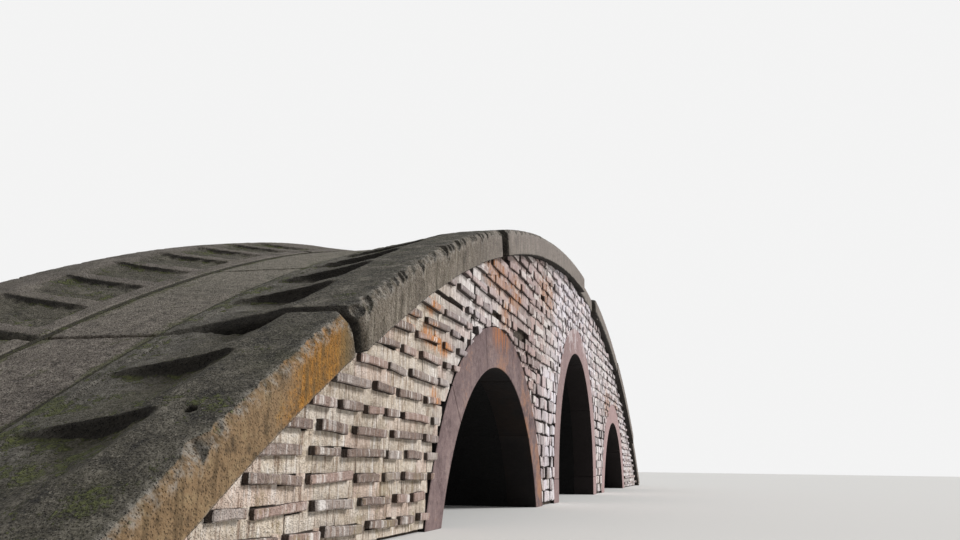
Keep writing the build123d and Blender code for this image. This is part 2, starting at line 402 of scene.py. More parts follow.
class StoneMaterial(Nodes):
    """A stone material, with what its masks are made of and the colour it has so far."""

    def __init__(self, name):
        self.material = bpy.data.materials.new(name)
        self.material.use_nodes = True
        super().__init__(self.material.node_tree)
        self.place = self.add("TexCoord").outputs["Object"]
        x, y, z = self.add("SeparateXYZ", {0: self.place}).outputs
        normal = self.add("NewGeometry").outputs["Normal"]
        normal_x, normal_y, normal_z = self.add("SeparateXYZ", {0: normal}).outputs
        self.x, self.y, self.z, self.facing_up = (partial(self.step, v) for v in (x, y, z, normal_z))
        self.off_middle, self.facing_along, self.facing_across = (
            partial(self.step, self.unsigned(v)) for v in (y, normal_x, normal_y))
        self.colour = None
        self.height = None

    def read(self, name):
        """A value that the mesh carries."""
        return self.add("Attribute", attribute_name=name, attribute_type="GEOMETRY").outputs["Fac"]

    def grain(self, base, dark, pale, **values):
        """The colour of grain; the first one is also where the material's colour and bump start."""
        colours = {"Base": stone_colour(*base), "Dark": stone_colour(*dark), "Pale": stone_colour(*pale)}
        sizes = {label.capitalize(): value for label, value in values.items()}
        made = self.add("Group", {"Place": self.place, **colours, **sizes}, node_tree=grain_group).outputs
        if self.colour is None:
            self.colour = made["Color"]
            self.height = made["Height"]
        return made["Color"]

    def streaks(self, fineness, level):
        inputs = {"Place": self.place, "Fineness": fineness, "Level": level}
        return self.add("Group", inputs, node_tree=streak_group).outputs["Mask"]

    def patches(self, size, level, bias=0.0, softness=0.08):
        inputs = {"Place": self.place, "Size": size, "Level": level, "Bias": bias, "Softness": softness}
        return self.add("Group", inputs, node_tree=patch_group).outputs["Mask"]

    def lay(self, coat, *masks):
        """Lays a coat over the colour so far, as strong as the product of the masks."""
        self.colour = self.over(self.colour, coat, *masks)

    def finish(self, bump_depth, roughness=0.9):
        shader = self.tree.nodes["Principled BSDF"].inputs
        bump = self.add("Bump", {"Height": self.height, "Distance": bump_depth, "Strength": 1.0})
        self.fill(shader["Base Color"], self.colour)
        self.fill(shader["Normal"], bump.outputs["Normal"])
        self.fill(shader["Roughness"], roughness)
        self.fill(shader["Specular IOR Level"], SHEEN)
        print("made", self.material.name)
        return self.material


# %% [markdown]
# ## Deck stone
#
# The slabs are a grey-brown sandstone. Their tops are dark and olive with age, their upright
# kerb faces are paler with rain streaks, the broken arris is nearly bare stone, and moss sits in
# the hollows and near the foot. The side of the first slab carries a sheet of orange lichen that
# thins to tan. Each of these is a mask: from the way the face looks, from how hollow the surface
# is, which a later cell stores on the mesh, or from the place along the bridge.


# %% Deck stone material
def below_ramp(stone):
    """One where a point lies below the top of the ramp, measured from the deck's axis."""
    from_axis = stone.add("VectorMath", {0: stone.place, 1: (0.0, 0.0, DECK_CENTRE_Z)}, operation="SUBTRACT")
    flat = stone.add("VectorMath", {0: from_axis.outputs[0], 1: (1.0, 0.0, 1.0)}, operation="MULTIPLY")
    radial = stone.add("VectorMath", {0: flat.outputs[0]}, operation="LENGTH").outputs["Value"]
    return stone.step(radial, RAMP_RADIUS + 0.002, RAMP_RADIUS - 0.004)


def make_deck_material():
    stone = StoneMaterial("weathered deck stone")
    hollow = stone.read("hollow")
    floor_part = stone.read("sunken")

    # The top, and the streaked side of the kerb, which is paler towards the crown.
    stone.grain((84, 80, 71), (36, 34, 31), (142, 136, 124),
                mottle=11.0, lump=55.0, grain=115.0, pitting=0.7, speck=0.9)
    side = stone.grain((121, 111, 98), (75, 67, 57), (158, 148, 136),
                       mottle=8.0, grain=140.0, pitting=0.6, speck=0.8)
    streaks = stone.streaks(26.0, 0.5)
    side = stone.over(side, (70, 63, 49), streaks, 0.62)
    side = stone.over(side, (178, 169, 154), stone.streaks(44.0, 0.56), 0.55)
    side = stone.over(side, (172, 162, 158), stone.x(-4.9, -2.6, 0.0, 0.42))
    upright = stone.facing_across(0.45, 0.8)
    far_out = stone.off_middle(0.88, 0.94)
    stone.lay(side, upright, far_out)

    # The left flight is bleached but for its sunken floors, and beside the ramp the top crumbles.
    bleached = stone.grain((124, 116, 109), (78, 73, 68), (150, 142, 134),
                           mottle=9.0, lump=50.0, grain=115.0, pitting=0.5, speck=0.9)
    left = stone.y(0.25, 0.26, 0.0, 0.7)
    stone.lay(bleached, left, stone.rest(floor_part), stone.facing_up(0.4, 0.8))
    stone.lay((84, 80, 68), floor_part, 0.3)
    crumbled = stone.grain((112, 108, 100), (62, 58, 54), (152, 148, 140),
                           mottle=24.0, lump=42.0, grain=110.0, pitting=0.7, speck=0.9)
    by_ramp = stone.times(
        stone.y(-0.58, -0.42), stone.y(0.0, -0.1),
        stone.x(-3.2, -4.2, 0.0, 0.75))
    stone.lay(crumbled, by_ramp)

    # Orange lichen over tan stone on the side of the first slab.
    first_side = stone.times(stone.x(-5.78, -5.9), stone.y(-0.95, -0.98), upright)
    lichen = stone.patches(7.0, 0.42, stone.x(-6.62, -6.02, -0.39, 0.36), 0.34)
    tan = stone.grain((134, 109, 80), (80, 65, 46), (150, 130, 98),
                      mottle=14.0, grain=180.0, pitting=0.4, speck=0.2)
    tan = stone.over(tan, (82, 66, 44), streaks, 0.6)
    orange = stone.grain((162, 110, 42), (104, 74, 34), (186, 138, 62),
                         mottle=30.0, grain=150.0, pitting=0.6, speck=0.9)
    orange = stone.over(orange, (94, 73, 42), streaks, 0.8)
    orange = stone.over(orange, (108, 84, 50), stone.streaks(75.0, 0.46), 0.6)
    orange = stone.over(orange, (104, 90, 62), stone.x(-6.0, -5.86, 0.0, 0.75))
    stone.lay(stone.over(tan, orange, lichen), first_side)

    # Bare edges, pale flakes, dirt in the hollows and dark joints; painted shade on the damp risers and slab
    # ends, and painted shade with some dirt on the undersides.
    stone.lay((150, 143, 132), stone.step(hollow, 0.42, 0.22), 0.32)
    stone.lay((156, 150, 142), stone.read("chip"), stone.patches(30.0, 0.40, softness=0.3), 0.8)
    stone.lay((40, 37, 33), stone.step(hollow, 0.56, 0.80), 0.75)
    joint = stone.times(upright, stone.rest(far_out), below_ramp(stone))
    # Risers and slab ends are painted dark: a painted shade for the shadow under each step's lip.
    riser_shade = stone.times(
        stone.facing_along(0.62, 0.86), stone.off_middle(0.34, 0.52, 0.35, 1.0),
        stone.off_middle(0.80, 0.92, 1.0, 0.65))
    stone.lay((32, 29, 27), stone.reckon("MAXIMUM", riser_shade, joint), 0.85)
    # Undersides are painted nearly black: painted shade, with some dirt.
    stone.lay((34, 30, 28), stone.facing_up(-0.30, -0.65, 0.0, 0.85))

    # An olive film and moss, on level ground only.
    foot = stone.z(0.75, 0.05, 0.0, 0.10)
    by_joint = stone.times(by_ramp, stone.y(-0.38, -0.30), 0.14)
    bias = stone.total(
        foot, stone.step(hollow, 0.5, 0.75, 0.0, 0.12), stone.times(floor_part, 0.05), by_joint)
    level = stone.facing_up(0.35, 0.8)
    stone.lay((74, 74, 48), stone.patches(2.2, 0.46, foot, 0.3), level, 0.35)
    moss = stone.times(stone.patches(6.5, 0.62, bias), level)
    green = stone.grain((80, 84, 48), (46, 50, 30), (118, 126, 64),
                        mottle=40.0, lump=90.0, grain=300.0, pitting=0.9)
    stone.lay(green, moss, 0.8)
    smooth = stone.step(first_side, 0.0, 1.0, 1.0, 0.55)
    stone.height = stone.total(stone.times(stone.height, smooth), stone.times(moss, 0.6))
    return stone.finish(0.014)


deck_stone = make_deck_material()

# %% [markdown]
# ## Ramp stone
#
# The ramp down the middle is browner and more pitted than the slabs beside it, since feet and
# wheels have kept its skin off.


# %% Ramp stone material
def make_ramp_material():
    stone = StoneMaterial("pitted ramp stone")
    stone.grain((119, 111, 103), (56, 50, 46), (162, 154, 144),
                mottle=20.0, lump=60.0, grain=105.0, pitting=0.8, speck=0.9)
    stone.lay((152, 148, 132), stone.x(-6.2, -4.4, 0.0, 0.38))
    stone.lay((44, 40, 36), stone.step(stone.read("hollow"), 0.56, 0.80), 0.7)
    by_edge = stone.off_middle(0.17, 0.245, 0.0, 0.22)
    stone.lay((84, 86, 56), stone.patches(4.0, 0.63, by_edge), 0.7)
    return stone.finish(0.018)


ramp_stone = make_ramp_material()

# %% [markdown]
# ## Ring stone
#
# The arch rings are a finer red-brown stone, with orange rust stain down from the crown of the
# near arch and a pale bloom over the middle one. Only their faces in the wall plane show it: the
# inner sides are black, partly damp and soot and partly painted shade, so the openings read as
# dark from their very edge.


# %% Ring stone material
def make_ring_material():
    stone = StoneMaterial("red ring stone")
    stone.grain((128, 108, 106), (88, 71, 72), (160, 141, 136),
                mottle=6.0, lump=30.0, grain=190.0, pitting=0.3)
    stone.lay((98, 82, 82), stone.streaks(14.0, 0.52), 0.3)
    near = stone.x(-1.5, -2.0)
    rust = stone.patches(3.0, 0.56, stone.x(-3.5, -3.1, 0.0, 0.12), 0.2)
    stone.lay((178, 124, 84), rust, near, 0.6)
    stone.lay((84, 64, 66), near, stone.z(0.80, 1.05), 0.26)
    stone.lay((184, 112, 52), stone.x(-3.66, -3.42), stone.x(-3.08, -3.26),
              stone.z(0.92, 1.04), stone.streaks(34.0, 0.42), 0.7)
    stone.lay((182, 154, 152), stone.x(-1.6, 2.4, 0.3, 0.8), stone.x(-2.0, -1.6))
    bloom = stone.patches(5.0, 0.58, stone.z(1.2, 1.5, -0.1, 0.12))
    stone.lay((206, 194, 194), bloom, stone.x(-1.4, -1.0), 0.7)
    outward = stone.off_middle(WALL_FACE - 0.006, WALL_FACE)
    face = stone.times(stone.facing_across(0.35, 0.70), outward)
    # All but the face in the wall plane is painted nearly black: damp and soot, and painted shade inside the
    # openings.
    stone.lay((10, 9, 9), stone.rest(face), 0.97)
    return stone.finish(0.006, 0.85)


ring_stone = make_ring_material()

# %% [markdown]
# ## Wall stone
#
# The wall stones differ from one another, so each stone carries two values of its own on its
# faces: a tone, and how much of a bar it is. How much orange stain there is lies on the points.
# Over that lie rain streaks and a paler wall towards the far end. The ends and undersides of the
# stones, which face into the joints, are painted dark: old dirt and painted shade.


# %% Wall stone material
def make_wall_material():
    stone = StoneMaterial("mixed wall stone")
    tone = stone.read("tone")
    stain = stone.read("stain")

    # Cream blocks and brown bars, both paler in two steps towards the far end.
    cream = stone.grain((218, 203, 184), (156, 137, 117), (246, 239, 230),
                        mottle=13.0, grain=170.0, pitting=0.6)
    brown = stone.grain((132, 113, 106), (88, 73, 67), (166, 149, 142),
                        mottle=16.0, grain=170.0, pitting=0.5)
    far = stone.total(stone.x(-4.9, -3.9, 0.0, 0.5), stone.x(-1.7, -1.0, 0.0, 0.5))
    by_pier = stone.times(stone.x(-2.6, -2.0), stone.z(1.20, 0.95))
    beyond = stone.x(0.8, 1.6)
    far = stone.total(stone.reckon("MAXIMUM", far, by_pier), stone.times(beyond, -0.28))
    cream = stone.over(cream, (253, 248, 255), far, 0.95)
    brown = stone.over(brown, (242, 232, 241), far, 0.80)
    stone.colour = stone.over(cream, brown, stone.read("bar"))
    stone.lay((162, 124, 118), stone.x(-3.9, -3.0), stone.x(-1.5, -2.2), 0.58)

    # Some stones are pink, some grey and some white.
    own = stone.x(-4.8, -3.8, 0.35, 1.0)
    stone.lay((208, 176, 164), stone.step(tone, 0.66, 0.84), 0.40)
    stone.lay((134, 122, 116), stone.step(tone, 0.28, 0.10), own, 0.62)
    stone.lay((252, 246, 240), stone.step(tone, 0.36, 0.46), stone.step(tone, 0.62, 0.52), own, 0.6)

    # Streaks, rust stain and lime.
    streak_colour = stone.over((126, 100, 82), (158, 142, 144), far)
    stone.lay(streak_colour, stone.streaks(70.0, 0.50), 0.68)
    rust = stone.patches(9.0, 0.50, stone.times(stain, 0.30), 0.16)
    runs = stone.step(stone.streaks(48.0, 0.44), 0.0, 1.0, 0.3, 0.95)
    rust_colour = stone.over((206, 128, 48), (176, 120, 78), stone.x(-4.5, -3.6))
    stone.lay(rust_colour, rust, stone.step(stain, 0.10, 0.65), runs)
    stone.lay((248, 241, 234), stone.streaks(80.0, 0.54), 0.6)
    stone.lay((246, 240, 234), stone.streaks(24.0, 0.56), 0.75)

    # Earth by the foot, and painted shade with dirt on what faces into the joints.
    stone.lay((146, 128, 84), stone.z(0.45, 0.05), stone.patches(5.0, 0.52), 0.45)
    edge_on = stone.rest(stone.facing_across(0.25, 0.65))
    joint_shade_and_dirt = stone.total(stone.x(-1.7, -1.0, 0.85, 0.60), stone.times(beyond, 0.25))
    # The ends and undersides of the stones are painted dark: painted shade as well as dirt.
    stone.lay((44, 36, 32), edge_on, joint_shade_and_dirt)
    return stone.finish(0.009)


wall_stone = make_wall_material()

# %% [markdown]
# ## Earth, barrels and hearting
#
# Behind the wall stones lies dark earth and old mortar, which shows only in the joints. The
# barrels are nearly black, partly damp and soot and partly painted shade. All of these are grain again, with
# dark values.


# %% Dark materials
def make_dark_material(name, base, dark, pale, mottle, depth):
    stone = StoneMaterial(name)
    stone.grain(base, dark, pale, mottle=mottle, grain=120.0, pitting=0.6)
    return stone.finish(depth)


backing_earth = make_dark_material("dark joint earth", (88, 76, 66), (48, 41, 36), (124, 110, 98), 14.0, 0.012)
# The barrels' near-black colour is partly painted shade for the dark inside of the arches.
vault_stone_painted_shade = make_dark_material("sooty vault stone with painted shade", (12, 11, 11), (6, 6, 6), (22, 20, 20), 7.0, 0.02)
hearting = make_dark_material("hearting rubble", (96, 88, 78), (58, 52, 46), (128, 120, 108), 10.0, 0.02)
joint_soil = make_dark_material("soil in the joints", (56, 52, 40), (30, 28, 24), (82, 88, 48), 30.0, 0.01)

# %% [markdown]
# ## Wearing down a stone
#
# A clean solid becomes a worn stone in four steps. A voxel remesh gives it an even skin, a little
# smoothing rounds its edges, broad and fine noise sinks the surface, always inwards so that the
# bridge never outgrows its CAD box, and a last step measures how hollow each place is, by
# comparing it with the average of its neighbours. The hollow value then drives dirt, moss and
# bare edges in the materials. The underside, which nobody sees, is thinned.


# %% Take the solids of a node
WELD_REACH = 0.00005


def solids_of(node):
    """The separate solids of a CAD node, each as a merged mesh, in the order of their faces."""
    whole = bmesh.new()
    whole.from_mesh(frame["nodes"][node].data)
    bmesh.ops.remove_doubles(whole, verts=whole.verts, dist=WELD_REACH)
    whole.faces.index_update()
    solids = []
    done = set()
    for first in list(whole.faces):
        if first.index in done:
            continue
        island = {first.index}
        waiting = [first]
        while waiting:
            near = {face for edge in waiting.pop().edges for face in edge.link_faces}
            waiting += [face for face in near if face.index not in island]
            island |= {face.index for face in near}
        done |= island
        one = whole.copy()
        bmesh.ops.delete(one, geom=[face for face in one.faces if face.index not in island], context="FACES")
        solids.append(one)
    whole.free()
    return solids


def show(name, mesh, materials):
    """Gives a mesh its materials and puts it into the scene."""
    for material in materials:
        mesh.materials.append(material)
    return link(name, mesh)


def with_modifiers(piece):
    """The mesh of an object after its modifiers; the object itself is removed."""
    graph = bpy.context.evaluated_depsgraph_get()
    result = bpy.data.meshes.new_from_object(piece.evaluated_get(graph))
    old = piece.data
    bpy.data.objects.remove(piece)
    bpy.data.meshes.remove(old)
    return result


# %% Remesh and measure
def even_skin(builder, voxel, rounding):
    """Voxel remesh with smoothing."""
    piece = link("skin", mesh_from(builder, "skin"))
    remesh = piece.modifiers.new("remesh", "REMESH")
    remesh.mode = "VOXEL"
    remesh.voxel_size = voxel
    smooth = piece.modifiers.new("smooth", "SMOOTH")
    smooth.factor = 0.5
    smooth.iterations = rounding
    return with_modifiers(piece)


def rows_of(items, key):
    """Three numbers of each item, as the rows of an array."""
    rows = np.empty(len(items) * 3, np.float32)
    items.foreach_get(key, rows)
    return rows.reshape(-1, 3)


def points_of(mesh):
    return rows_of(mesh.vertices, "co")


def directions_of(mesh):
    return rows_of(mesh.vertex_normals, "vector")


def move_points(mesh, points):
    mesh.vertices.foreach_set("co", points.astype(np.float32).ravel())
    mesh.update()


def store(mesh, name, values, domain="POINT"):
    attribute = mesh.attributes.new(name, "FLOAT", domain)
    attribute.data.foreach_set("value", np.asarray(values, np.float32))


def noise_at(points, size, seed):
    """Smooth noise from minus one to one, whose lumps are about size metres wide."""
    shift = Vector((seed * 3.7, seed * 1.9, seed * 5.3))
    return np.array([noise.noise(Vector(p) / size + shift) for p in points.tolist()])


HOLLOW_SCALE = 0.006


def measure_hollow(mesh, rounds):
    """Half where flat, more in hollows, less on edges."""
    points = points_of(mesh)
    ends = np.empty(len(mesh.edges) * 2, np.int32)
    mesh.edges.foreach_get("vertices", ends)
    ends = ends.reshape(-1, 2)
    count = np.bincount(ends.ravel(), minlength=len(points))[:, None]
    average = points.astype(np.float64)
    for _ in range(rounds):
        total = np.zeros_like(average)
        for axis in range(3):
            total[:, axis] = np.bincount(ends[:, 0], average[ends[:, 1], axis], len(points))
            total[:, axis] += np.bincount(ends[:, 1], average[ends[:, 0], axis], len(points))
        average = 0.5 * average + 0.5 * total / count
    depth = ((average - points) * directions_of(mesh)).sum(1)
    return np.clip(0.5 + depth / HOLLOW_SCALE / 2, 0, 1)


# %% Thin the underside
UNDERSIDE_KEPT = 0.06
LOOKS_DOWN = -0.7


def thin_underside(mesh):
    """Collapses edges only where the surface looks down onto the masonry."""
    piece = link("thin", mesh)
    down = directions_of(mesh)[:, 2] < LOOKS_DOWN
    group = piece.vertex_groups.new(name="under")
    group.add(np.flatnonzero(down).tolist(), 1.0, "REPLACE")
    thin = piece.modifiers.new("thin", "DECIMATE")
    thin.ratio = 1.0 - down.mean() * (1.0 - UNDERSIDE_KEPT)
    thin.vertex_group = "under"
    return with_modifiers(piece)


# %% [markdown]
# ## Broken kerb edges
#
# The outer top edge of the kerb has lost a row of shallow flakes, which show as pale scallops,
# and a few deeper bites. Cutting each with a boolean would be slow. Instead each point near the
# arris is asked how far it lies inside the two faces that meet there. Where a run of noise along
# the bridge asks for a deeper flake than that, the point moves in, down and across by the
# difference. One formula makes all the flakes, and their outline stays sharp.

# %% Kerb outline and flakes
OVERHANGS = {
    "near_end": (0.062, 0.062), "near_steps": (0.088, 0.048), "near_shoulder": (0.078, 0.078),
    "crown": (0.072, 0.072), "far_crown": (0.028, 0.028), "far_shoulder": (0.075, 0.075),
    "far_steps": (0.080, 0.080), "far_end": (0.066, 0.066),
}
BITES = [
    (-5.62, 0.010, 0.030), (-5.44, 0.020, 0.022), (-5.12, 0.030, 0.025), (-4.72, 0.040, 0.032),
    (-4.03, 0.038, 0.030), (-6.72, 0.030, 0.050), (-5.84, 0.060, 0.050),
]
ARRIS_WIDTH = 0.075
ARRIS_ROUNDS = 6
FLAKED_WIDTH = ARRIS_WIDTH * 1.3
CHIP_RUN = 0.052
CHIP_DEPTH = 0.026
CHIP_STRENGTH = {"near_end": 0.35, "near_steps": 1.0}
USUAL_CHIP_STRENGTH = 0.7
CHIP_SLANT = 0.6
WAVE_DEPTH = 0.014
RIPPLE_DEPTH = 0.005
FROST_REACH = 0.024


def arris_place(points, name):
    """How far each point lies inside the two faces that meet at the outer top edge."""
    near_overhang, far_overhang = OVERHANGS[name]
    x = points[:, 0]
    share = (x - x.min()) / (x.max() - x.min())
    outer = WALL_FACE + near_overhang + (far_overhang - near_overhang) * share
    below = DECK_RADIUS - np.hypot(x, points[:, 2] - DECK_CENTRE_Z)
    return below, outer - np.abs(points[:, 1])


def refine_arris(mesh, name):
    """Halves and rounds the mesh along the outer top edge, where the flakes need more points."""
    near = sum(arris_place(points_of(mesh), name)) < ARRIS_WIDTH
    builder = bmesh.new()
    builder.from_mesh(mesh)
    edges = [e for e in builder.edges if near[e.verts[0].index] and near[e.verts[1].index]]
    bmesh.ops.subdivide_edges(builder, edges=edges, cuts=1, use_grid_fill=True)
    places = np.array([v.co for v in builder.verts])
    near = sum(arris_place(places, name)) < ARRIS_WIDTH
    edge_points = [v for v, close in zip(list(builder.verts), near) if close]
    for _ in range(ARRIS_ROUNDS):
        bmesh.ops.smooth_vert(
            builder, verts=edge_points, factor=0.5, use_axis_x=True, use_axis_y=True, use_axis_z=True)
    builder.to_mesh(mesh)
    builder.free()


def flake_kerb(points, name, seed):
    """Moves points near the outer top edge inwards, and tells how far each one moved."""
    below, inside = arris_place(points, name)
    near_edge = np.flatnonzero(below + inside < FLAKED_WIDTH)
    below = below[near_edge]
    inside = inside[near_edge]
    x, y, z = points[near_edge].T
    chance = np.random.default_rng(seed)
    run = np.stack([x, np.full(len(x), seed), np.zeros(len(x))], 1)
    along = (x + CHIP_SLANT * below) / CHIP_RUN + 0.8 * noise_at(run, 0.13, seed)
    chip = np.floor(along).astype(int)
    arch = 1 - (2 * (along - chip) - 1) ** 2
    size = chance.uniform(0.0, 1.0, chip.max() - chip.min() + 1)[chip - chip.min()] ** 1.5
    strength = CHIP_STRENGTH.get(name, USUAL_CHIP_STRENGTH)
    depth = CHIP_DEPTH + CHIP_DEPTH * strength * size * arch
    depth += WAVE_DEPTH * strength * np.abs(noise_at(run, 0.22, seed + 3))
    depth += RIPPLE_DEPTH * noise_at(run, 0.03, seed + 5)
    for place, bite, width in BITES:
        depth += bite * np.exp(-(((x - place) / width) ** 2) * 2)
    short = depth - below - inside
    step = np.clip(short, 0, None) / 2
    radial = DECK_RADIUS - below
    points[near_edge, 0] -= step * x / radial
    points[near_edge, 1] -= step * np.sign(y)
    points[near_edge, 2] -= step * (z - DECK_CENTRE_Z) / radial
    moved = np.zeros(len(points))
    moved[near_edge] = np.clip((short + FROST_REACH) / FROST_REACH, 0, 1)
    return moved


# %% Wear a solid down
def wear_down(mesh, seed, broad, fine):
    """Sinks the surface by broad and fine noise, always inwards."""
    points = points_of(mesh)
    sink = np.zeros(len(points))
    for number, (size, depth) in enumerate(((0.30, broad), (0.06, fine), (0.025, fine * 0.6))):
        sink += depth * (0.5 + 0.5 * noise_at(points, size, seed + number))
    move_points(mesh, points - directions_of(mesh) * sink[:, None])


def inside_box(mesh):
    """Keeps every point inside the CAD box."""
    move_points(mesh, np.clip(points_of(mesh), np.array(cad_low), np.array(cad_high)))


# %% [markdown]
# ## Side slabs
#
# Sixteen slabs carry the kerbs and the two flights of steps. The slabs by the camera get a finer
# skin than the far ones, so the points go where they can be seen. Soil and moss have filled the
# hollows of the steps: nearly to the top on the left flight, and only beside the ramp on the
# right one. The floors of those hollows are raised first.

# %% Step hollows
TOP_Y = [0.255, 0.650, 0.745, 1.1]
TOP_DROP = [0.080, 0.020, 0.0, 0.0]
KERB_INNER = 0.80
FILLED_TO = {"left": (KERB_INNER, 0.024), "right": (0.45, 0.010)}


def below_top(points):
    """How far points lie below the top of the side slab above them."""
    top = DECK_RADIUS - np.interp(np.abs(points[:, 1]), TOP_Y, TOP_DROP)
    return top - np.hypot(points[:, 0], points[:, 2] - DECK_CENTRE_Z)


def fill_hollows(builder, reach, limit):
    """Raises the floors of the step hollows to a depth, out to a distance from the middle."""
    for v in builder.verts:
        depth = below_top(np.array([v.co]))[0]
        radial = math.hypot(v.co.x, v.co.z - DECK_CENTRE_Z)
        if radial > BED_RADIUS + 0.01 and depth > limit and abs(v.co.y) < reach:
            grow = (radial + depth - limit) / radial
            v.co.x *= grow
            v.co.z = DECK_CENTRE_Z + (v.co.z - DECK_CENTRE_Z) * grow


def sunken(points):
    """One on the floor of a step hollow, nothing on the top of the slab."""
    x = points[:, 0]
    y = np.abs(points[:, 1])
    inner = np.clip((KERB_INNER - y) / 0.02, 0, 1)
    off_end = np.minimum(x - x.min(), x.max() - x) > 0.012
    return np.clip((below_top(points) - 0.010) / 0.010, 0, 1) * inner * off_end * (y > 0.30)


def beside_ramp(points):
    """One on the strip beside the ramp, which has crumbled."""
    y = np.abs(points[:, 1])
    return np.clip((0.50 - y) / 0.08, 0, 1) * np.clip((y - 0.265) / 0.015, 0, 1)


# %% Side slabs
SKINS = {
    "right": {"near_end": 0.009, "near_steps": 0.010, "near_shoulder": 0.012, "crown": 0.014},
    "left": {"near_end": 0.012, "near_steps": 0.012, "near_shoulder": 0.015, "crown": 0.019},
}
FAR_SKIN = 0.024
ROUGH_FLOOR = 0.006
HOLLOW_ROUNDS = 6


def make_side_slab(side_name, name, seed):
    node = f"slab_{side_name}_{name}"
    builder = solids_of(node)[0]
    fill_hollows(builder, *FILLED_TO[side_name])
    mesh = thin_underside(even_skin(builder, SKINS[side_name].get(name, FAR_SKIN), 1))
    refine_arris(mesh, name)
    wear_down(mesh, seed, 0.002, 0.003)
    points = points_of(mesh).astype(np.float64)
    chips = flake_kerb(points, name, seed)
    floor_part = sunken(points)
    rough = np.maximum(floor_part, beside_ramp(points)) if side_name == "right" else floor_part
    points[:, 2] -= ROUGH_FLOOR * rough * noise_at(points, 0.035, seed + 7)
    move_points(mesh, points)
    inside_box(mesh)
    store(mesh, "sunken", floor_part)
    store(mesh, "chip", chips)
    store(mesh, "hollow", measure_hollow(mesh, HOLLOW_ROUNDS))
    mesh.shade_smooth()
    piece = show(f"worn_{node}", mesh, [deck_stone])
    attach(piece, "root")
    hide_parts(node)
    return len(mesh.polygons)


slab_faces = 0
for side_number, side_name in enumerate(("right", "left")):
    for number, name in enumerate(OVERHANGS):
        slab_faces += make_side_slab(side_name, name, 11 + number + 20 * side_number)
print("side slabs", slab_faces, "faces")

# %% [markdown]
# ## Ramp slabs
#
# The ramp is a row of slabs with open cross joints. Each slab is worn by itself, because a skin
# drawn over all of them at once would close the joints, and then they are joined again.

# %% Ramp slabs
RAMP_SKINS = {"ramp_near": 0.012, "ramp_crown": 0.018, "ramp_far": 0.024}
RAMP_WEAR = 0.004


def worn_ramp(node, voxel, seed):
    """All the slabs of a ramp node, each worn by itself, as one mesh."""
    builder = bmesh.new()
    for number, solid in enumerate(solids_of(node)):
        mesh = thin_underside(even_skin(solid, voxel, 2))
        wear_down(mesh, seed + number, RAMP_WEAR, RAMP_WEAR)
        inside_box(mesh)
        builder.from_mesh(mesh)
        bpy.data.meshes.remove(mesh)
    whole = mesh_from(builder, node)
    store(whole, "hollow", measure_hollow(whole, HOLLOW_ROUNDS))
    whole.shade_smooth()
    return whole


ramp_faces = 0
for number, (node, voxel) in enumerate(RAMP_SKINS.items()):
    mesh = worn_ramp(node, voxel, 60 + 10 * number)
    piece = show(f"worn_{node}", mesh, [ramp_stone])
    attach(piece, "root")
    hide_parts(node)
    ramp_faces += len(mesh.polygons)
print("ramp slabs", ramp_faces, "faces")

# %% [markdown]
# ## Arch rings
#
# The rings are dressed far finer than the slabs, so they need no worn skin: their edges get a
# small bevel, and the joints between their stones stay narrow.

# %% Arch rings
RING_EDGE = 0.003
RING_SHARP = 0.6

ring_faces = 0
for side_name in ("right", "left"):
    for name in ("near", "middle", "far"):
        node = f"ring_{side_name}_{name}"
        whole = bmesh.new()
        whole.from_mesh(frame["nodes"][node].data)
        bmesh.ops.remove_doubles(whole, verts=whole.verts, dist=WELD_REACH)
        bmesh.ops.dissolve_limit(whole, angle_limit=0.01, verts=whole.verts, edges=whole.edges)
        sharp = [e for e in whole.edges if e.calc_face_angle(0.0) > RING_SHARP]
        bmesh.ops.bevel(whole, geom=sharp, offset=RING_EDGE, segments=1, profile=0.5, affect="EDGES",
                        clamp_overlap=True, material=-1)
        mesh = mesh_from(whole, node)
        inside_box(mesh)
        piece = show(f"dressed_{node}", mesh, [ring_stone])
        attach(piece, "root")
        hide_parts(node)
        ring_faces += len(mesh.polygons)
print("rings", ring_faces, "faces")

# %% [markdown]
# ## Soil in the long joints
#
# Between the ramp and the slabs beside it the joint is full of soil and moss to just under the
# surface, so it reads as a dark line, not as a groove. A strip of small blocks bent to the deck
# circle fills it.

# %% Joint soil
SOIL_Y = 0.25
SOIL_WIDTH = 0.030
SOIL_TOP = RAMP_RADIUS - 0.004
SOIL_DEPTH = 0.04
SOIL_REACH = 6.98
SOIL_CUTS = 240
SOIL_UNEVEN = 0.004

soil = bmesh.new()
for side in (-1, 1):
    strip = bmesh.ops.create_cube(soil, size=1.0)["verts"]
    bmesh.ops.scale(soil, verts=strip, vec=(2 * SOIL_REACH, SOIL_WIDTH, SOIL_DEPTH))
    bmesh.ops.translate(soil, verts=strip, vec=(0, side * SOIL_Y, 0))
along = [e for e in soil.edges if abs(e.verts[0].co.x - e.verts[1].co.x) > 1]
bmesh.ops.subdivide_edges(soil, edges=along, cuts=SOIL_CUTS, use_grid_fill=True)
for v in soil.verts:
    uneven = SOIL_UNEVEN * noise.noise(Vector((v.co.x * 14, v.co.y * 9, 0)))
    radial = SOIL_TOP + uneven - (SOIL_DEPTH if v.co.z < 0 else 0)
    v.co.z = DECK_CENTRE_Z + math.sqrt(radial ** 2 - v.co.x ** 2)
mesh = mesh_from(soil, "soil")
inside_box(mesh)
piece = show("joint_soil", mesh, [joint_soil])
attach(piece, "root")
print("joint soil", len(mesh.polygons), "faces")

# %% [markdown]
# ## The wall, stone by stone
#
# The wall is laid in level courses of two kinds of stone: thin brown bars that stand proud, and
# cream blocks between them. By the near abutment the bars are long and far apart. Over the arches
# they are thicker and closer, and the piers are squarer blocks. A stone that would run under an
# arch ring is cut along the ring. Every stone is a cube that is cut, shifted at its corners and
# bevelled by operators, so it has only a few dozen faces.

